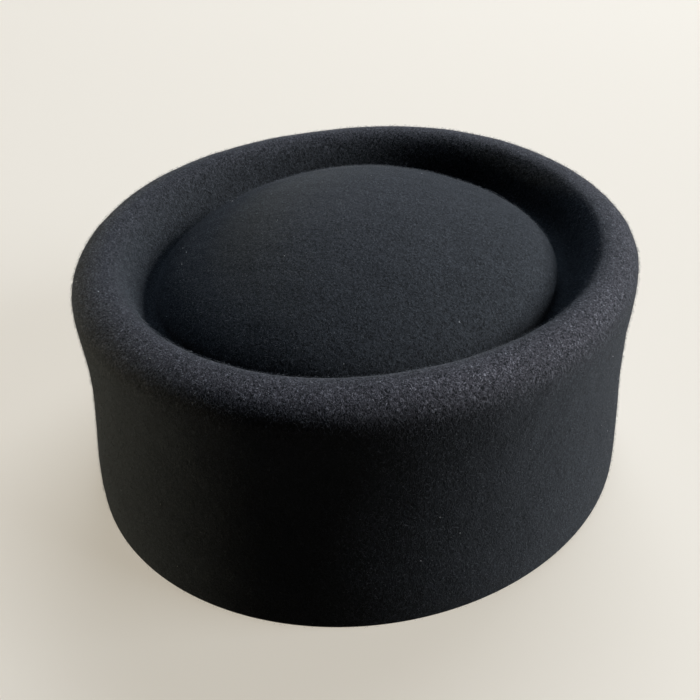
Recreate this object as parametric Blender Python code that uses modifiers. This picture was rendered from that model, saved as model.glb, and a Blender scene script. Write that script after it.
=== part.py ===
"""Pillbox hat: one blocked felt body, hollow, standing on its hem as it rests on a table.

The origin is on the floor under the middle of the head opening. +Y runs from front to back, +Z is up.
Going up from the hem, the wall draws in to a waist and swells to a shoulder, rolls over a soft crest,
drops down a steep slope to a groove, and rises again steeply as the domed tip. Units are metres.
"""

import math
from typing import NamedTuple

import bpy
import numpy as np

# The head opening, inside the felt at the hem
HEAD_LENGTH = 0.188
HEAD_WIDTH = 0.174
FELT = 0.0025

# The wall and its rolled edge
CREST_HEIGHT = 0.084
ROLL_DROP = 0.0088
ROLL_WIDTH = 0.0104
SHOULDER_DRAW = 0.0023
WAIST_DRAW = 0.0032
WAIST_DROP = 0.022

# The top inside the rolled edge
SLOPE_WIDTH = 0.0115
GROOVE_DEPTH = 0.018
GROOVE_ROUND = 0.003
DOME_RISE = 0.0268

# How finely the form is cut into facets, and how near points have to lie to become one
FACETS_ROUND = 64
MERGE_DISTANCE = 0.00001

FELT_COLOUR = (0.012, 0.013, 0.016, 1.0)
FELT_ROUGHNESS = 0.95


class Stretch(NamedTuple):
    """One stretch of the felt's outer line, from its start station to its end station.

    start and end are (radius, height). A pull says how far the line runs straight on at that end
    before it bends away, as (share of the stretch's width, share of its height).
    """

    start: tuple
    end: tuple
    start_pull: tuple
    end_pull: tuple
    steps: int


def stretches(hem_radius):
    """The outer line's stretches in order, from the tip of the dome to the hem."""
    shoulder_height = CREST_HEIGHT - ROLL_DROP
    waist_height = shoulder_height - WAIST_DROP
    groove_height = CREST_HEIGHT - GROOVE_DEPTH
    shoulder_radius = hem_radius - SHOULDER_DRAW
    crest_radius = shoulder_radius - ROLL_WIDTH
    groove_radius = crest_radius - SLOPE_WIDTH

    tip = (0.0, groove_height + DOME_RISE)
    flank = (groove_radius - GROOVE_ROUND, groove_height + GROOVE_ROUND)
    groove = (groove_radius, groove_height)
    crest = (crest_radius, CREST_HEIGHT)
    shoulder = (shoulder_radius, shoulder_height)
    waist = (hem_radius - WAIST_DRAW, waist_height)
    hem = (hem_radius, 0.0)

    # Columns: start, end, start pull (across, up), end pull (across, up), steps
    return (
        Stretch(tip, flank, (0.52, 0.0), (0.0, 0.5), 10),
        Stretch(flank, groove, (0.0, 0.56), (0.56, 0.0), 3),
        Stretch(groove, crest, (0.62, 0.0), (0.75, 0.0), 8),
        Stretch(crest, shoulder, (0.56, 0.0), (0.0, 0.56), 6),
        Stretch(shoulder, waist, (0.0, 0.45), (0.0, 0.45), 4),
        Stretch(waist, hem, (0.0, 0.42), (0.0, 0.38), 4),
    )


def bend(stretch):
    """The stretch as a cubic curve: its points, and its unit normals that point out of the felt."""
    start, end = np.array(stretch.start), np.array(stretch.end)
    span = end - start
    first = start + span * stretch.start_pull
    last = end - span * stretch.end_pull
    t = np.linspace(0.0, 1.0, stretch.steps + 1)[:, None]
    points = (1 - t) ** 3 * start + 3 * (1 - t) ** 2 * t * first + 3 * (1 - t) * t**2 * last + t**3 * end
    run = (1 - t) ** 2 * (first - start) + 2 * (1 - t) * t * (last - first) + t**2 * (end - last)
    run /= np.linalg.norm(run, axis=1, keepdims=True)
    normals = np.stack([-run[:, 1], run[:, 0]], axis=1)
    return points, normals


def felt_profile(hem_radius):
    """The closed section of the felt, from the tip down the outer side and back up the inner side."""
    bends = [bend(stretch) for stretch in stretches(hem_radius)]
    outer = np.concatenate([bends[0][0]] + [points[1:] for points, _ in bends[1:]])
    normals = np.concatenate([bends[0][1]] + [normals[1:] for _, normals in bends[1:]])
    inner = outer - FELT * normals
    return np.concatenate([outer, inner[::-1]])


def turned(name, profile, facets, collection):
    """An object turned about Z from a closed section of (radius, height) points."""
    mesh = bpy.data.meshes.new(name)
    points = [(radius, 0.0, height) for radius, height in profile.tolist()]
    mesh.from_pydata(points, [(i, i + 1) for i in range(len(points) - 1)], [])
    turned_object = bpy.data.objects.new(name, mesh)
    collection.objects.link(turned_object)

    screw = turned_object.modifiers.new("turn", "SCREW")
    screw.steps = screw.render_steps = facets
    screw.use_merge_vertices = True
    screw.merge_threshold = MERGE_DISTANCE
    screw.use_smooth_shade = True
    return turned_object


def felt_material():
    """Matte black wool felt."""
    material = bpy.data.materials.new("black_wool_felt")
    material.use_nodes = True
    shader = material.node_tree.nodes["Principled BSDF"]
    shader.inputs["Base Color"].default_value = FELT_COLOUR
    shader.inputs["Roughness"].default_value = FELT_ROUGHNESS
    shader.inputs["Metallic"].default_value = 0.0
    return material


def felt_body(collection):
    """The whole hat body: wall, rolled edge, slope, groove and domed tip as one felt shell.

    It is turned round at the opening's mean radius, and its scale draws it out to the head's oval.
    """
    head_radius = math.sqrt(HEAD_LENGTH * HEAD_WIDTH) / 2
    body = turned("felt_body", felt_profile(head_radius + FELT), FACETS_ROUND, collection)
    body.scale = (HEAD_WIDTH / 2 / head_radius, HEAD_LENGTH / 2 / head_radius, 1.0)
    body.data.materials.append(felt_material())
    return body


def clear_scene():
    """Removes every object of the open scene."""
    for obj in list(bpy.data.objects):
        bpy.data.objects.remove(obj, do_unlink=True)


def main():
    """Builds the hat in a collection of its own."""
    clear_scene()
    hat = bpy.data.collections.new("pillbox_hat")
    bpy.context.scene.collection.children.link(hat)
    felt_body(hat)


if __name__ == "__main__":
    main()
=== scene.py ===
"""Black wool felt pillbox hat, resting on its hem on a plain pale floor.

The felt is one blocked shell: a wall that draws in to a waist and swells to a shoulder, a soft rolled
edge, a steep slope down to a groove, and a domed tip. Its nap is short wool fibres that lie on the felt.
Everything is in metres, in the hat's own frame: +Y from front to back, +Z up, the floor at 0.
"""

import logging
import math
from collections.abc import Sequence
from dataclasses import dataclass
from enum import Enum

import bpy
import numpy as np
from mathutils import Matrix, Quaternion, Vector

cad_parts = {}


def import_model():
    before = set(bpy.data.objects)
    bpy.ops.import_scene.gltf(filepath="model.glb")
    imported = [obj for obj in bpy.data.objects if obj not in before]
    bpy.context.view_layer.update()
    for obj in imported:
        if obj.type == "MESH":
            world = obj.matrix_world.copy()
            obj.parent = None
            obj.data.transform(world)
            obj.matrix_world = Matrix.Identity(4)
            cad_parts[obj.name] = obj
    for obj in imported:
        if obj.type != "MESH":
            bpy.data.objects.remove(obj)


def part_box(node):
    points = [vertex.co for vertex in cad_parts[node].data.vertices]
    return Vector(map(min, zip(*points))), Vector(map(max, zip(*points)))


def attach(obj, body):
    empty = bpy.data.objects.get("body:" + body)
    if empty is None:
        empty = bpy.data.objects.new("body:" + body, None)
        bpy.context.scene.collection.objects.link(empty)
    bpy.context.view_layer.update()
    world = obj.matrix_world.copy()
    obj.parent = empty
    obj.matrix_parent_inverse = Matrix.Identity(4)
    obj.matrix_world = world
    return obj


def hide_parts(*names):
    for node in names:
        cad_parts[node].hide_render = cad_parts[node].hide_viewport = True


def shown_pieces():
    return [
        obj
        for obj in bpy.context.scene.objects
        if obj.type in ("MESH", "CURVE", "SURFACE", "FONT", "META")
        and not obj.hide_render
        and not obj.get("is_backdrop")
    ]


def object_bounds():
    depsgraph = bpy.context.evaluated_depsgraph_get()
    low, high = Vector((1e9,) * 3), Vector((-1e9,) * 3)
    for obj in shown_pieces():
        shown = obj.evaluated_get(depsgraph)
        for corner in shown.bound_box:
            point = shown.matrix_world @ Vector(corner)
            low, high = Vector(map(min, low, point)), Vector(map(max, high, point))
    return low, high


log = logging.getLogger("pillbox_hat")

# Name of the attribute that pales the nap: wear on the rolled edge, and painted light toward the camera
# and on the dome's top
WEAR_AND_LIGHT = "wear_and_light"
MM = 0.001
SHORTEST = 1e-12
Pair = tuple[float, float]


class Zone(Enum):
    """A part of the felt's outer side, by which nap and swellings are placed."""

    DOME = "dome"
    SLOPE = "slope"
    ROLLED_EDGE = "rolled_edge"
    WALL = "wall"


def linear_colour(hex_code: str) -> tuple[float, float, float, float]:
    """Turns an sRGB hex colour into the linear colour that a shader takes.

    The sRGB curve is a straight line near black and a power above it.

    Args:
        hex_code: Six hex digits with a leading hash.

    Returns:
        Red, green and blue in linear light, and an alpha of 1.
    """
    shares = [int(hex_code[i : i + 2], 16) / 255 for i in (1, 3, 5)]
    red, green, blue = (s / 12.92 if s <= 0.04045 else ((s + 0.055) / 1.055) ** 2.4 for s in shares)
    return red, green, blue, 1.0


def add_node(
    tree: bpy.types.NodeTree,
    kind: str,
    settings: dict[str, object] | None = None,
    inputs: dict[str | int, object] | None = None,
) -> bpy.types.Node:
    """Adds a shader node, sets its options, and fills or links its sockets.

    Args:
        tree: The material's node tree.
        kind: The node's type name.
        settings: Option names and their values.
        inputs: Socket names or numbers, each with a value or with the output socket to link.

    Returns:
        The new node.
    """
    node = tree.nodes.new(kind)
    for name, value in (settings or {}).items():
        setattr(node, name, value)
    for name, value in (inputs or {}).items():
        if isinstance(value, bpy.types.NodeSocket):
            tree.links.new(value, node.inputs[name])
        else:
            node.inputs[name].default_value = value
    return node


def mesh_object(name: str, points: np.ndarray, triangles: np.ndarray) -> bpy.types.Object:
    """Makes a smooth mesh object at the origin from whole arrays.

    Args:
        name: The object's name.
        points: Vertex places, one row each.
        triangles: Vertex numbers, three in a row, counter-clockwise seen from outside.

    Returns:
        The object, linked to the scene.
    """
    mesh = bpy.data.meshes.new(name)
    mesh.vertices.add(len(points))
    mesh.vertices.foreach_set("co", points.astype(np.float32).ravel())
    mesh.loops.add(3 * len(triangles))
    mesh.loops.foreach_set("vertex_index", triangles.astype(np.int32).ravel())
    mesh.polygons.add(len(triangles))
    mesh.polygons.foreach_set("loop_start", np.arange(0, 3 * len(triangles), 3, dtype=np.int32))
    mesh.polygons.foreach_set("use_smooth", np.ones(len(triangles), dtype=bool))
    mesh.update(calc_edges=True)
    mesh.validate()
    made = bpy.data.objects.new(name, mesh)
    bpy.context.scene.collection.objects.link(made)
    return made


def unit(vectors: np.ndarray) -> np.ndarray:
    """Gives each vector a length of 1."""
    return vectors / np.maximum(np.linalg.norm(vectors, axis=-1, keepdims=True), SHORTEST)


def reach_along(line: np.ndarray) -> np.ndarray:
    """Adds up how far along the line each station lies from the first one."""
    return np.concatenate([[0.0], np.cumsum(np.linalg.norm(np.diff(line, axis=0), axis=1))])


@dataclass(frozen=True)
class Stretch:
    """One stretch of the felt's outer line, from a start station to an end station.

    A station is (radius, height). A pull says how far the line runs straight on at that end before it
    bends away, as (share of the stretch's width, share of its height).
    """

    zone: Zone
    start: Pair
    end: Pair
    start_pull: Pair
    end_pull: Pair
    steps: int

    def line(self) -> np.ndarray:
        """Works out the stretch: a cubic curve whose inner control points are set by the two pulls.

        Returns:
            Points as (radius, height), one row each, with both ends.
        """
        start, end = np.array(self.start), np.array(self.end)
        span = end - start
        first, last = start + span * self.start_pull, end - span * self.end_pull
        t = np.linspace(0.0, 1.0, self.steps + 1)[:, None]
        near_start = (1 - t) ** 3 * start + 3 * (1 - t) ** 2 * t * first
        return near_start + 3 * (1 - t) * t**2 * last + t**3 * end


@dataclass(frozen=True)
class Swelling:
    """A soft fullness or hollow that blocking left in the felt.

    azimuth is in degrees from +X towards +Y, and share runs along the zone from the tip's side. width
    is (degrees round the hat, metres along the felt), and height is in metres out of the felt.
    """

    azimuth: float
    zone: Zone
    share: float
    width: Pair
    height: float


# Columns: azimuth, zone, share, width (round, along), height
SWELLINGS = (
    Swelling(100.0, Zone.DOME, 0.72, (34.0, 20 * MM), -1.6 * MM),
    Swelling(-130.0, Zone.DOME, 0.63, (55.0, 20 * MM), -2.6 * MM),
    Swelling(-55.0, Zone.DOME, 0.45, (40.0, 16 * MM), -0.5 * MM),
    Swelling(-130.0, Zone.SLOPE, 0.10, (42.0, 8 * MM), 2.2 * MM),
    Swelling(147.0, Zone.SLOPE, 0.22, (24.0, 9 * MM), 1.8 * MM),
    Swelling(-130.0, Zone.WALL, 0.25, (30.0, 22 * MM), -0.3 * MM),
    Swelling(50.0, Zone.WALL, 0.30, (28.0, 24 * MM), 0.5 * MM),
    Swelling(-20.0, Zone.WALL, 0.55, (24.0, 26 * MM), -0.6 * MM),
    Swelling(-75.0, Zone.ROLLED_EDGE, 0.40, (18.0, 12 * MM), 0.5 * MM),
    Swelling(20.0, Zone.ROLLED_EDGE, 0.50, (22.0, 12 * MM), -0.4 * MM),
)


@dataclass(frozen=True)
class Lobes:
    """A wave round the hat that takes its oval a little out of true. phase is in radians."""

    count: int
    height: float
    phase: float


@dataclass
class FeltBody:
    """The felt shell of the whole hat. Its outer size comes from the frame's box.

    The waves are the felt's fine unevenness, and the fades keep the tip and the hem plain. The
    wear-and-light shares say how strongly the rolled edge is paled: a level share all round, partly wear
    and partly painted light, and painted light that is strongest at the painted light's azimuth, which
    faces the camera, and there and on the far side. The dome's top is paled by painted light too.
    """

    half_width: float
    half_length: float
    tip_height: float

    felt: float = 2.5 * MM
    crest_height: float = 84 * MM
    roll_drop: float = 8.8 * MM
    roll_width: float = 10.4 * MM
    shoulder_draw: float = 2.3 * MM
    waist_draw: float = 3.2 * MM
    waist_drop: float = 22 * MM
    slope_width: float = 11.5 * MM
    groove_depth: float = 18 * MM
    groove_round: float = 3 * MM
    hem_round: float = 0.7 * MM
    hem_power: float = 0.5

    unevenness: float = 0.05 * MM
    wave_count: int = 28
    wave_lengths: Pair = (7 * MM, 30 * MM)
    wave_seed: int = 7
    out_of_true: tuple[Lobes, ...] = (Lobes(3, 0.35 * MM, 0.8), Lobes(5, 0.25 * MM, 2.1))
    tip_fade: float = 12 * MM
    hem_fade: float = 10 * MM

    facets: int = 420
    hem_steps: int = 7
    inner_skip: int = 2

    # Paling of the nap: wear round the rolled edge, and painted light toward the camera and on the
    # dome's top
    wear_and_light_share: float = 0.3
    wear_and_light_width: float = 9 * MM
    painted_light_azimuth: float = -40.0
    wear_and_light_all_round: float = 0.76
    painted_light_near: float = 0.08
    painted_light_both_sides: float = 0.16
    # Painted light that pales the dome's top, fading out from the tip
    painted_dome_light: float = 0.14
    painted_dome_light_width: float = 40 * MM

    @property
    def hem_radius(self) -> float:
        """The mean radius of the outer hem, at which the section is drawn."""
        return math.sqrt(self.half_width * self.half_length)

    @property
    def angles(self) -> np.ndarray:
        """The facets' angles round the hat, in radians from +X towards +Y."""
        return np.arange(self.facets) / self.facets * 2 * math.pi

    def stretches(self) -> tuple[Stretch, ...]:
        """Lists the outer line's stretches from the tip of the dome to the hem.

        Heights are counted down from the crest, and radii in from the hem.

        Returns:
            The six stretches, each starting where the one before it ends.
        """
        groove_height = self.crest_height - self.groove_depth
        shoulder_height = self.crest_height - self.roll_drop
        shoulder_radius = self.hem_radius - self.shoulder_draw
        crest_radius = shoulder_radius - self.roll_width
        groove_radius = crest_radius - self.slope_width
        tip = (0.0, self.tip_height)
        flank = (groove_radius - self.groove_round, groove_height + self.groove_round)
        groove = (groove_radius, groove_height)
        crest = (crest_radius, self.crest_height)
        shoulder = (shoulder_radius, shoulder_height)
        waist = (self.hem_radius - self.waist_draw, shoulder_height - self.waist_drop)
        hem = (self.hem_radius, 0.0)

        # Columns: zone, start, end, start pull (across, up), end pull (across, up), steps
        return (
            Stretch(Zone.DOME, tip, flank, (0.52, 0.0), (0.0, 0.5), 46),
            Stretch(Zone.DOME, flank, groove, (0.0, 0.56), (0.56, 0.0), 5),
            Stretch(Zone.SLOPE, groove, crest, (0.62, 0.0), (0.75, 0.0), 20),
            Stretch(Zone.ROLLED_EDGE, crest, shoulder, (0.56, 0.0), (0.0, 0.56), 14),
            Stretch(Zone.WALL, shoulder, waist, (0.0, 0.45), (0.0, 0.45), 16),
            Stretch(Zone.WALL, waist, hem, (0.0, 0.42), (0.0, 0.38), 34),
        )

    def section(self) -> tuple[np.ndarray, np.ndarray]:
        """Joins the stretches into one line, and says which zone each of its stations lies in.

        Returns:
            The line as (radius, height) rows from the tip to the hem, and the stations' zone names.
        """
        lines, zones = [], []
        for stretch in self.stretches():
            line = stretch.line()[1:] if lines else stretch.line()
            lines.append(line)
            zones += [stretch.zone.value] * len(line)
        return np.concatenate(lines), np.array(zones)

    def turned(self, line: np.ndarray) -> np.ndarray:
        """Turns a line of (radius, height) round the hat's oval.

        Each station becomes an ellipse: x is the radius times the oval's width share and the cosine
        of the angle, y the radius times its length share and the sine, and z the height.

        Args:
            line: The line to turn.

        Returns:
            Points indexed by station, then angle.
        """
        radius, height = line[:, 0, None], line[:, 1, None]
        x = radius * np.cos(self.angles) * self.half_width / self.hem_radius
        y = radius * np.sin(self.angles) * self.half_length / self.hem_radius
        return np.stack([x, y, np.broadcast_to(height, x.shape)], axis=-1)

    def outward(self, points: np.ndarray) -> np.ndarray:
        """Works out the outward normals of a grid as the cross product of its two tangents.

        Args:
            points: The grid. Its first row is the tip, where the normal is straight up.

        Returns:
            One unit normal for each point.
        """
        along = np.gradient(points, axis=0)
        around = np.roll(points, -1, axis=1) - np.roll(points, 1, axis=1)
        normals = unit(np.cross(along, around))
        normals[0] = (0.0, 0.0, 1.0)
        return normals

    def wear_and_painted_light(self, line: np.ndarray, zones: np.ndarray) -> np.ndarray:
        """Works out how much the nap is paled, partly by wear and partly as painted light.

        It is a bell curve along the felt over its rolled edge, and a weak one over the dome, which is
        painted light on the dome's top. Round the hat the edge is paled most at the painted light's
        azimuth, which faces the camera, less on the far side, and least a quarter turn from there: a
        level share, partly wear and partly painted light, plus a cosine of the turn and one of twice the
        turn, which are painted light.

        Args:
            line: The section.
            zones: The zone name of each station.

        Returns:
            A share from 0 to 1 for each station and angle.
        """
        reach = reach_along(line)
        edge = reach[zones == Zone.ROLLED_EDGE.value]
        middle = edge[0] + (edge[-1] - edge[0]) * self.wear_and_light_share
        turn = self.angles - math.radians(self.painted_light_azimuth)
        # Painted light: brightest on the side that faces the camera, and again on the far side
        near, both_sides = self.painted_light_near * np.cos(turn), self.painted_light_both_sides * np.cos(2 * turn)
        around = self.wear_and_light_all_round + near + both_sides
        edge_wear_and_light = np.exp(-(((reach - middle) / self.wear_and_light_width) ** 2))[:, None] * around
        # Painted light on the dome's top
        painted_dome_light = self.painted_dome_light * np.exp(-((reach / self.painted_dome_light_width) ** 2))[:, None]
        return np.maximum(edge_wear_and_light, painted_dome_light)

    def relief(self, points: np.ndarray, line: np.ndarray, zones: np.ndarray) -> np.ndarray:
        """Works out how far the real felt stands out of its turned form.

        It is the sum of the swellings, each a bell curve round the hat times a bell curve along the
        felt, of the lobes, which grow with the square of the radius, and of short sine waves that
        cross the felt in directions drawn once from a fixed seed, scaled so that their root mean
        square is the unevenness. All of it fades out by a smooth step at the tip and the hem.

        Args:
            points: The turned grid.
            line: Its section.
            zones: The zone name of each station.

        Returns:
            One height out of the felt for each point of the grid, in metres.
        """
        reach = reach_along(line)
        azimuths = np.degrees(self.angles)
        heights = np.zeros(points.shape[:2])
        for swelling in SWELLINGS:
            of_zone = reach[zones == swelling.zone.value]
            middle = of_zone[0] + (of_zone[-1] - of_zone[0]) * swelling.share
            turn = (azimuths - swelling.azimuth + 180.0) % 360.0 - 180.0
            across = np.exp(-((turn / swelling.width[0]) ** 2))
            along = np.exp(-(((reach - middle) / swelling.width[1]) ** 2))
            heights += swelling.height * along[:, None] * across

        lobed = sum(
            lobes.height * np.cos(lobes.count * self.angles + lobes.phase) for lobes in self.out_of_true
        )
        heights += lobed * np.clip(line[:, 0] / self.hem_radius, 0, 1)[:, None] ** 2

        random = np.random.default_rng(self.wave_seed)
        directions = unit(random.normal(size=(self.wave_count, 3)))
        lengths = random.uniform(*self.wave_lengths, self.wave_count)
        phases = random.uniform(0, 2 * math.pi, self.wave_count)
        waves = np.sin(points @ (directions / lengths[:, None] * 2 * math.pi).T + phases)
        heights += waves.sum(axis=-1) * self.unevenness / math.sqrt(self.wave_count / 2)

        from_tip = np.clip(reach / self.tip_fade, 0, 1)
        from_hem = np.clip(line[:, 1] / self.hem_fade, 0, 1)
        fade = from_tip * from_hem
        return heights * (fade**2 * (3 - 2 * fade))[:, None]

    def outer_side(self) -> tuple[np.ndarray, np.ndarray, np.ndarray]:
        """Works out the felt's outer side.

        Returns:
            The grid of points, its outward normals, and each station's zone name.
        """
        line, zones = self.section()
        points = self.turned(line)
        points += self.outward(points) * self.relief(points, line, zones)[..., None]
        return points, self.outward(points), zones

    def hem_edge(self, outer: np.ndarray, inner: np.ndarray) -> np.ndarray:
        """Closes the cut edge from the outer to the inner side as half a superellipse.

        A power under 1 on its sine and cosine keeps the edge flat with round corners.

        Args:
            outer: The last row of the outer side.
            inner: The matching row of the inner side.

        Returns:
            Rows of points between the two.
        """
        theta = np.linspace(0, math.pi, self.hem_steps + 2)[1:-1, None, None]
        across = np.sign(np.cos(theta)) * np.abs(np.cos(theta)) ** self.hem_power
        down = np.abs(np.sin(theta)) ** self.hem_power
        edge = (outer + inner) / 2 + (outer - inner) / 2 * across
        edge[..., 2] = self.hem_round * (1 - down[..., 0])
        return edge

    def shell(self) -> bpy.types.Object:
        """Builds the closed felt shell: outer side, cut edge at the hem, and the inner side.

        The inner side lies one felt thickness in along the normals, with fewer rows.

        Rows of the grid run from the outer pole down to the hem and back up to the inner pole, and
        each pole is a single vertex.

        Returns:
            The shell, with its wear and painted light as an attribute.
        """
        outer, normals, _ = self.outer_side()
        inner = outer - normals * self.felt
        outer[-1, :, 2] = inner[-1, :, 2] = self.hem_round
        inner_rows = inner[: self.inner_skip - 1 : -self.inner_skip]
        rows = np.concatenate([outer[1:], self.hem_edge(outer[-1], inner[-1]), inner_rows])
        poles = np.array([outer[0, 0], outer[0, 0] - (0, 0, self.felt)])
        points = np.concatenate([rows.reshape(-1, 3), poles])

        count, facets = rows.shape[:2]
        here = np.arange(count * facets).reshape(count, facets)
        beside = np.roll(here, -1, axis=1)
        a, b, c, d = here[:-1].ravel(), here[1:].ravel(), beside[1:].ravel(), beside[:-1].ravel()
        outer_pole, inner_pole = len(points) - 2, len(points) - 1
        first = np.full(facets, outer_pole), here[0], beside[0]
        last = np.full(facets, inner_pole), beside[-1], here[-1]
        corners = ((a, b, c), (a, c, d), first, last)
        triangles = np.concatenate([np.stack(three, axis=1) for three in corners])
        made = mesh_object("felt_shell", points, triangles)

        line, zones = self.section()
        # Wear and painted light for each outer vertex; the cut edge and the inner side get none
        wear_and_light = np.zeros(rows.shape[:2], dtype=np.float32)
        wear_and_light[: len(line) - 1] = self.wear_and_painted_light(line, zones)[1:]
        # The outer pole takes the dome's painted light, the inner pole none
        values = np.concatenate([wear_and_light.ravel(), (self.painted_dome_light, 0.0)]).astype(np.float32)
        made.data.attributes.new(WEAR_AND_LIGHT, "FLOAT", "POINT").data.foreach_set("value", values)
        return made


@dataclass(frozen=True)
class FibreCover:
    """How the nap lies on one part of the felt. Lengths and thickness are in metres, lean in degrees.

    comb is how strongly brushing has laid the fibres downhill: 0 leaves them lying every way. Each
    fibre is drawn about twice as thick as real wool, so that it still shows at the photo's size.
    """

    name: str
    zones: tuple[Zone, ...]
    count: int
    length: Pair
    thickness: Pair
    lean: Pair
    comb: float
    seed: int


COVERS = (
    FibreCover(
        name="nap_dome",
        zones=(Zone.DOME,),
        count=22000,
        length=(0.5 * MM, 1.4 * MM),
        thickness=(0.035 * MM, 0.065 * MM),
        lean=(8, 58),
        comb=0.4,
        seed=11,
    ),
    FibreCover(
        name="nap_rolled_edge",
        zones=(Zone.SLOPE, Zone.ROLLED_EDGE),
        count=32000,
        length=(0.5 * MM, 1.6 * MM),
        thickness=(0.035 * MM, 0.07 * MM),
        lean=(8, 60),
        comb=1.1,
        seed=12,
    ),
    FibreCover(
        name="nap_wall",
        zones=(Zone.WALL,),
        count=33000,
        length=(0.5 * MM, 1.6 * MM),
        thickness=(0.035 * MM, 0.065 * MM),
        lean=(8, 55),
        comb=0.6,
        seed=13,
    ),
)
LINT = FibreCover(
    name="wool_lint",
    zones=(Zone.DOME, Zone.ROLLED_EDGE, Zone.WALL),
    count=70,
    length=(0.35 * MM, 0.9 * MM),
    thickness=(0.14 * MM, 0.26 * MM),
    lean=(2, 22),
    comb=0.0,
    seed=14,
)

# A fibre's triangles, by its vertices: 0 start, 1 tip, 2 to 4 the corners round its knee
FIBRE_TRIANGLES = ((3, 2, 0), (4, 3, 0), (2, 4, 0), (2, 3, 1), (3, 4, 1), (4, 2, 1))
FIBRE_VERTICES = 5


@dataclass
class Nap:
    """Wool fibres that lie on a grid of felt.

    root_depth is how far a fibre starts under the felt, knee_share how much of its length comes
    before the knee, and turn_spread the usual bend sideways at the knee, in radians.
    """

    points: np.ndarray
    normals: np.ndarray
    zones: np.ndarray
    root_depth: float = 0.04 * MM
    knee_share: float = 0.5
    turn_spread: float = 0.5

    def roots(
        self, cover: FibreCover, random: np.random.Generator
    ) -> tuple[np.ndarray, np.ndarray]:
        """Spreads roots evenly over the felt's area.

        A grid cell is drawn with a chance that grows with its area, and the root is the bilinear
        mix of the cell's corners at two random shares.

        Args:
            cover: What kind of nap it is.
            random: The seeded source of random numbers.

        Returns:
            The roots' places and the felt's normals there.
        """
        wanted = np.isin(self.zones[1:], [zone.value for zone in cover.zones])
        lower = np.arange(1, len(self.zones))[wanted]
        upper = lower - 1
        along = self.points[lower] - self.points[upper]
        around = np.roll(self.points, -1, axis=1)[upper] - self.points[upper]
        area = np.linalg.norm(np.cross(along, around), axis=-1)
        cell = random.choice(area.size, cover.count, p=area.ravel() / area.sum())
        row, column = np.unravel_index(cell, area.shape)
        beside = (column + 1) % self.points.shape[1]
        down, side = random.random((2, cover.count, 1))
        corners = (
            (upper[row], column, (1 - down) * (1 - side)),
            (lower[row], column, down * (1 - side)),
            (upper[row], beside, (1 - down) * side),
            (lower[row], beside, down * side),
        )
        place = sum(self.points[r, c] * share for r, c, share in corners)
        normal = sum(self.normals[r, c] * share for r, c, share in corners)
        return place, unit(normal)

    def fibres(self, cover: FibreCover) -> bpy.types.Object:
        """Builds the fibres as bent spindles joined in one mesh.

        A fibre lies in a random direction along the felt plus its comb times the way that runs
        straight down there. It runs from its root to a knee and on to its tip, leaves the felt at its
        lean angle and lies down half as steeply after the knee. Round the knee stand three corners.

        Args:
            cover: How long, thick and upright the fibres are, and where they lie.

        Returns:
            The joined fibres.
        """
        random = np.random.default_rng(cover.seed)
        root, normal = self.roots(cover, random)
        downhill = normal * normal[:, 2:] - (0.0, 0.0, 1.0)
        any_way = unit(np.cross(normal, random.normal(size=root.shape)))
        flat = unit(any_way + cover.comb * downhill)
        side = np.cross(normal, flat)
        length = random.uniform(*cover.length, (cover.count, 1))
        lean = np.radians(random.uniform(*cover.lean, (cover.count, 1)))
        turn = random.normal(0.0, self.turn_spread, (cover.count, 1))
        rising = flat * np.cos(lean) + normal * np.sin(lean)
        onward = flat * np.cos(turn) + side * np.sin(turn)
        falling = unit(onward + normal * np.tan(lean / 2))

        start = root - normal * self.root_depth
        knee = root + rising * length * self.knee_share
        tip = knee + falling * length * (1 - self.knee_share)
        half = random.uniform(*cover.thickness, (cover.count, 1)) / 2
        axis = unit(tip - start)
        across = unit(np.cross(axis, normal))
        up = np.cross(axis, across)
        ring = [
            knee + half * (across * math.cos(angle) + up * math.sin(angle))
            for angle in (0.0, 2 * math.pi / 3, 4 * math.pi / 3)
        ]
        points = np.stack([start, tip, *ring], axis=1).reshape(-1, 3)
        points[:, 2] = np.maximum(points[:, 2], 0.0)
        offsets = np.arange(cover.count)[:, None, None] * FIBRE_VERTICES
        triangles = (np.array(FIBRE_TRIANGLES) + offsets).reshape(-1, 3)
        return mesh_object(cover.name, points, triangles)


@dataclass(frozen=True)
class Bump:
    """How deep a pattern's relief is, in metres, and how strongly it shows."""

    depth: float
    strength: float


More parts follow.
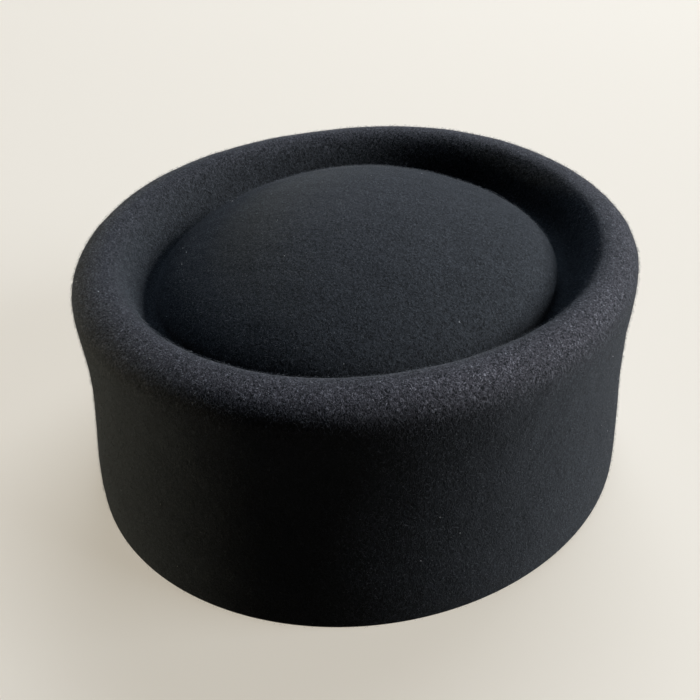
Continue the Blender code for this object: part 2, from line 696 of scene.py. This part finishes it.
@dataclass(frozen=True)
class WoolFelt:
    """Black wool felt, blocked and steamed: matted wool with no weave, wholly matte, with a faint
    blue-grey bloom where light grazes its nap.

    A wool fibre is about 0.025 mm thick, too fine to show, so the grain stands for small tufts of them.
    A range says between which noise values a pattern goes from nothing to all, and a tone by how much
    it darkens and lightens the wool.
    """

    hollow: str = "#08090b"
    nap: str = "#303337"
    # Paler nap for wear on the rolled edge and for painted light toward the camera and on the dome's top
    worn_and_lit_nap: str = "#545157"
    tip: str = "#8c8c92"
    bloom: str = "#a9afba"

    roughness: float = 0.95
    specular: float = 0.15
    bloom_weight: float = 0.10
    bloom_roughness: float = 0.55

    grain_size: float = 0.55 * MM
    clump_size: float = 3.2 * MM
    mottle_size: float = 24 * MM
    brushing: float = 0.7

    nap_range: Pair = (0.38, 0.66)
    tip_range: Pair = (0.60, 0.74)
    tip_share: float = 0.8
    broad_range: Pair = (0.3, 0.7)
    mottle_tone: Pair = (0.92, 1.08)
    clump_tone: Pair = (0.88, 1.12)
    clump_bump: Bump = Bump(0.5 * MM, 0.35)
    grain_bump: Bump = Bump(0.25 * MM, 0.8)

    def patterns(self, tree: bpy.types.NodeTree) -> list[bpy.types.NodeSocket]:
        """Adds the three noises that the felt is made of.

        Args:
            tree: The material's node tree.

        Returns:
            The grain, the clumps and the broad mottle.
        """
        place = add_node(tree, "ShaderNodeTexCoord").outputs["Object"]
        # Brushing draws the grain out down the wall and leaves it as it is on the level felt
        brushed = add_node(
            tree,
            "ShaderNodeVectorMath",
            {"operation": "MULTIPLY"},
            {0: place, 1: (1.0, 1.0, self.brushing)},
        ).outputs["Vector"]
        # Columns: where, size, detail, curl
        return [
            add_node(
                tree,
                "ShaderNodeTexNoise",
                inputs={"Vector": at, "Scale": 1 / size, "Detail": detail, "Distortion": curl},
            ).outputs["Fac"]
            for at, size, detail, curl in (
                (brushed, self.grain_size, 3.0, 1.2),
                (place, self.clump_size, 2.0, 0.6),
                (place, self.mottle_size, 2.0, 0.0),
            )
        ]

    def wool_colour(
        self, tree: bpy.types.NodeTree, grain: bpy.types.NodeSocket
    ) -> bpy.types.NodeSocket:
        """Adds the wool's colour.

        The grain goes from dark hollows to the nap. Where the mask is full the nap is paler and has pale
        tips: wear on the rolled edge, and painted light on the side facing the camera and on the dome's
        top.

        Args:
            tree: The material's node tree.
            grain: The grain.

        Returns:
            The colour.
        """
        # The mask of wear and painted light, read from the shell's attribute
        wear_and_light = add_node(tree, "ShaderNodeAttribute", {"attribute_name": WEAR_AND_LIGHT}).outputs["Fac"]
        nap = add_node(
            tree,
            "ShaderNodeMix",
            {"data_type": "RGBA"},
            {0: wear_and_light, 6: linear_colour(self.nap), 7: linear_colour(self.worn_and_lit_nap)},
        ).outputs[2]
        low, high = self.nap_range
        covered = add_node(
            tree,
            "ShaderNodeMapRange",
            inputs={"Value": grain, "From Min": low, "From Max": high},
        ).outputs["Result"]
        wool = add_node(
            tree,
            "ShaderNodeMix",
            {"data_type": "RGBA"},
            {0: covered, 6: linear_colour(self.hollow), 7: nap},
        ).outputs[2]
        low, high = self.tip_range
        raised = add_node(
            tree,
            "ShaderNodeMapRange",
            inputs={"Value": grain, "From Min": low, "From Max": high, "To Max": self.tip_share},
        ).outputs["Result"]
        # Pale tips only where wear and painted light pale the nap
        worn_and_lit_tips = add_node(
            tree,
            "ShaderNodeMath",
            {"operation": "MULTIPLY"},
            {0: raised, 1: wear_and_light},
        ).outputs["Value"]
        return add_node(
            tree,
            "ShaderNodeMix",
            {"data_type": "RGBA"},
            {0: worn_and_lit_tips, 6: wool, 7: linear_colour(self.tip)},
        ).outputs[2]

    def broad_tone(
        self, tree: bpy.types.NodeTree, mottle: bpy.types.NodeSocket, clump: bpy.types.NodeSocket
    ) -> bpy.types.NodeSocket:
        """Adds the felt's broad tone: the mottle times the clumps.

        Args:
            tree: The material's node tree.
            mottle: The broad mottle.
            clump: The clumps.

        Returns:
            A number near 1 to scale the colour by.
        """
        low, high = self.broad_range
        tones = [
            add_node(
                tree,
                "ShaderNodeMapRange",
                inputs={
                    "Value": pattern,
                    "From Min": low,
                    "From Max": high,
                    "To Min": dark,
                    "To Max": light,
                },
            ).outputs["Result"]
            for pattern, (dark, light) in ((mottle, self.mottle_tone), (clump, self.clump_tone))
        ]
        return add_node(
            tree,
            "ShaderNodeMath",
            {"operation": "MULTIPLY"},
            {0: tones[0], 1: tones[1]},
        ).outputs["Value"]

    def material(self) -> bpy.types.Material:
        """Makes the felt's material: the wool's colour times its broad tone, and two bumps.

        Returns:
            The material.
        """
        made = bpy.data.materials.new("black_wool_felt")
        made.use_nodes = True
        tree = made.node_tree
        grain, clump, mottle = self.patterns(tree)
        mottled = add_node(
            tree,
            "ShaderNodeVectorMath",
            {"operation": "SCALE"},
            {0: self.wool_colour(tree, grain), "Scale": self.broad_tone(tree, mottle, clump)},
        ).outputs["Vector"]
        soft = add_node(
            tree,
            "ShaderNodeBump",
            inputs={
                "Height": clump,
                "Distance": self.clump_bump.depth,
                "Strength": self.clump_bump.strength,
            },
        ).outputs["Normal"]
        fine = add_node(
            tree,
            "ShaderNodeBump",
            inputs={
                "Height": grain,
                "Distance": self.grain_bump.depth,
                "Strength": self.grain_bump.strength,
                "Normal": soft,
            },
        ).outputs["Normal"]

        shader = tree.nodes["Principled BSDF"]
        tree.links.new(mottled, shader.inputs["Base Color"])
        tree.links.new(fine, shader.inputs["Normal"])
        shader.inputs["Roughness"].default_value = self.roughness
        shader.inputs["Specular IOR Level"].default_value = self.specular
        shader.inputs["Sheen Weight"].default_value = self.bloom_weight
        shader.inputs["Sheen Roughness"].default_value = self.bloom_roughness
        shader.inputs["Sheen Tint"].default_value = linear_colour(self.bloom)
        return made


@dataclass(frozen=True)
class WoolFibre:
    """Loose wool fibre: dyed black as the nap, or undyed and pale as the lint that felt picks up."""

    name: str
    colour: str
    bloom_weight: float
    bloom_roughness: float = 0.5
    roughness: float = 0.85
    specular: float = 0.25

    def material(self) -> bpy.types.Material:
        """Makes the fibre's material. One colour, because a fibre is thinner than any pattern on it.

        Returns:
            The material.
        """
        made = bpy.data.materials.new(self.name)
        made.use_nodes = True
        shader = made.node_tree.nodes["Principled BSDF"]
        shader.inputs["Base Color"].default_value = linear_colour(self.colour)
        shader.inputs["Roughness"].default_value = self.roughness
        shader.inputs["Specular IOR Level"].default_value = self.specular
        shader.inputs["Sheen Weight"].default_value = self.bloom_weight
        shader.inputs["Sheen Roughness"].default_value = self.bloom_roughness
        return made


DYED = WoolFibre("dyed_wool_fibre", "#43474e", bloom_weight=0.2)
UNDYED = WoolFibre("undyed_wool_lint", "#d2d2d4", bloom_weight=0.1)


class Subject(Enum):
    """What a softbox is flagged to light."""

    HAT = "hat"
    FLOOR = "floor"


@dataclass(frozen=True)
class SoftLight:
    """A square studio softbox.

    right, back and up give its direction from the hat as the camera sees it. distance and size are
    in metres, and power is in watts.
    """

    name: str
    subject: Subject
    right: float
    back: float
    up: float
    distance: float
    size: float
    power: float
    colour: str


# Columns: name, subject, right, back, up, distance, size, power, colour
LIGHTS = (
    SoftLight("key_softbox", Subject.HAT, 0.86, 0.11, 0.50, 1.10, 0.50, 23.8, "#f8fcff"),
    SoftLight("top_softbox", Subject.HAT, 0.00, 0.34, 0.92, 1.10, 0.50, 4.4, "#d2e8ff"),
    SoftLight("left_softbox", Subject.HAT, -0.93, 0.26, 0.03, 1.10, 0.22, 9.0, "#fff8d8"),
    SoftLight("floor_right_softbox", Subject.FLOOR, 0.85, -0.20, 0.45, 2.50, 1.40, 24.0, "#eaf2ff"),
    SoftLight("floor_back_softbox", Subject.FLOOR, 0.30, 0.80, 0.75, 3.00, 2.60, 58.0, "#f2f6ff"),
)


@dataclass
class Studio:
    """The plain pale floor, the soft lights and the camera.

    Angles are in degrees, and the lens and its sensor in millimetres.
    """

    azimuth: float = 50.5
    elevation: float = 36.34
    distance: float = 345.1 * MM
    aim: tuple[float, float, float] = (-2.3 * MM, -2.8 * MM, 35.5 * MM)
    roll: float = -0.95
    lens: float = 50.0
    sensor_width: float = 36.0
    clip_start: float = 0.01

    floor_half: float = 8.0
    floor_drop: float = 0.2 * MM
    floor_colour: str = "#e9e7df"
    floor_roughness: float = 0.9
    wash_height: float = 2.0
    wash_strength: float = 1.8
    wash_colour: str = "#fff6ea"
    backdrop_colour: str = "#b2aa9c"

    def floor(self) -> bpy.types.Object:
        """Lays the floor as one flat square just under the hem. It throws no light back on the hat.

        Returns:
            The floor.
        """
        corners = np.array([[-1, -1], [1, -1], [1, 1], [-1, 1]]) * self.floor_half
        points = np.column_stack([corners, np.full(4, -self.floor_drop)])
        made = mesh_object("floor", points, np.array([[0, 1, 2], [0, 2, 3]]))
        # Plain in the photo: matte board with no grain, joint or stain that shows
        material = bpy.data.materials.new("matte_cream_board")
        material.use_nodes = True
        shader = material.node_tree.nodes["Principled BSDF"]
        shader.inputs["Base Color"].default_value = linear_colour(self.floor_colour)
        shader.inputs["Roughness"].default_value = self.floor_roughness
        made.data.materials.append(material)
        made.visible_diffuse = False
        made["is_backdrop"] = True
        return made

    def camera_axes(self) -> tuple[Vector, Vector, Vector]:
        """Gives the directions by which the lights and the camera are placed.

        Returns:
            Level to the camera's right, level away from it, and straight up.
        """
        turn = math.radians(self.azimuth)
        right = Vector((math.cos(turn), math.sin(turn), 0.0))
        away = Vector((-math.sin(turn), math.cos(turn), 0.0))
        return right, away, Vector((0.0, 0.0, 1.0))

    def light(self, softbox: SoftLight, subjects: dict[Subject, bpy.types.Collection]) -> None:
        """Hangs a softbox, turned to the hat.

        Args:
            softbox: Where it hangs, and how large and bright it is.
            subjects: The objects of each subject.
        """
        right, away, up = self.camera_axes()
        towards = (right * softbox.right + away * softbox.back + up * softbox.up).normalized()
        data = bpy.data.lights.new(softbox.name, "AREA")
        data.shape = "SQUARE"
        data.size = softbox.size
        data.energy = softbox.power
        data.color = linear_colour(softbox.colour)[:3]
        made = bpy.data.objects.new(softbox.name, data)
        made.location = Vector(self.aim) + towards * softbox.distance
        made.rotation_mode = "QUATERNION"
        made.rotation_quaternion = towards.to_track_quat("Z", "Y")
        made.light_linking.receiver_collection = subjects[softbox.subject]
        made.visible_camera = False
        bpy.context.scene.collection.objects.link(made)

    def wash(self, floor: bpy.types.Collection) -> None:
        """Washes the floor evenly out to the horizon.

        The hat takes none of this light and casts no shadow in it.

        Args:
            floor: The floor's collection.
        """
        data = bpy.data.lights.new("floor_wash", "SUN")
        data.energy = self.wash_strength
        data.color = linear_colour(self.wash_colour)[:3]
        made = bpy.data.objects.new("floor_wash", data)
        made.location = (0.0, 0.0, self.wash_height)
        made.light_linking.receiver_collection = floor
        made.light_linking.blocker_collection = floor
        bpy.context.scene.collection.objects.link(made)

    def backdrop(self) -> None:
        """Sets a backdrop as light as the far floor. Only the camera sees it, so it adds no light."""
        world = bpy.data.worlds.new("studio")
        world.use_nodes = True
        background = world.node_tree.nodes["Background"]
        background.inputs["Color"].default_value = linear_colour(self.backdrop_colour)
        world.cycles_visibility.diffuse = False
        world.cycles_visibility.glossy = False
        bpy.context.scene.world = world

    def camera(self) -> None:
        """Places the camera at the photograph's angle, with its slight roll."""
        _, away, up = self.camera_axes()
        rise = math.radians(self.elevation)
        back = up * math.sin(rise) - away * math.cos(rise)
        data = bpy.data.cameras.new("camera")
        data.lens = self.lens
        data.sensor_width = self.sensor_width
        data.clip_start = self.clip_start
        made = bpy.data.objects.new("camera", data)
        made.location = Vector(self.aim) + back * self.distance
        made.rotation_mode = "QUATERNION"
        roll = Quaternion((0.0, 0.0, 1.0), math.radians(self.roll))
        made.rotation_quaternion = (-back).to_track_quat("-Z", "Y") @ roll
        bpy.context.scene.collection.objects.link(made)
        bpy.context.scene.camera = made

    def view_colours(self) -> None:
        """Shows the light as it is, with no film curve, so that the felt's dark tones stay apart."""
        view = bpy.context.scene.view_settings
        view.view_transform = "Standard"
        view.look = "None"


def finish_piece(piece: bpy.types.Object, material: bpy.types.Material) -> None:
    """Dresses a piece, fixes it to the hat's body and reports it.

    Args:
        piece: The mesh object.
        material: Its finish.
    """
    piece.data.materials.append(material)
    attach(piece, "root")
    log.info("%s: %d triangles", piece.name, len(piece.data.polygons))


def main() -> None:
    """Builds the felt, its nap, its lint and the studio in order."""
    logging.basicConfig(level=logging.INFO, format="%(name)s: %(message)s")
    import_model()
    frame_box = [corner.copy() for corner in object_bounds()]

    low, high = (Vector(corner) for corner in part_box("felt_body"))
    half = (high - low) / 2
    body = FeltBody(half_width=half.x, half_length=half.y, tip_height=high.z)
    shell = body.shell()
    finish_piece(shell, WoolFelt().material())
    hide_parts("felt_body")

    nap = Nap(*body.outer_side())
    dyed = DYED.material()
    for cover in COVERS:
        finish_piece(nap.fibres(cover), dyed)
    finish_piece(nap.fibres(LINT), UNDYED.material())

    studio = Studio()
    subjects = {subject: bpy.data.collections.new(subject.value) for subject in Subject}
    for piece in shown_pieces():
        subjects[Subject.HAT].objects.link(piece)
    subjects[Subject.FLOOR].objects.link(studio.floor())
    studio.backdrop()
    studio.wash(subjects[Subject.FLOOR])
    for softbox in LIGHTS:
        studio.light(softbox, subjects)
    studio.camera()
    studio.view_colours()


if __name__ == "__main__":
    main()
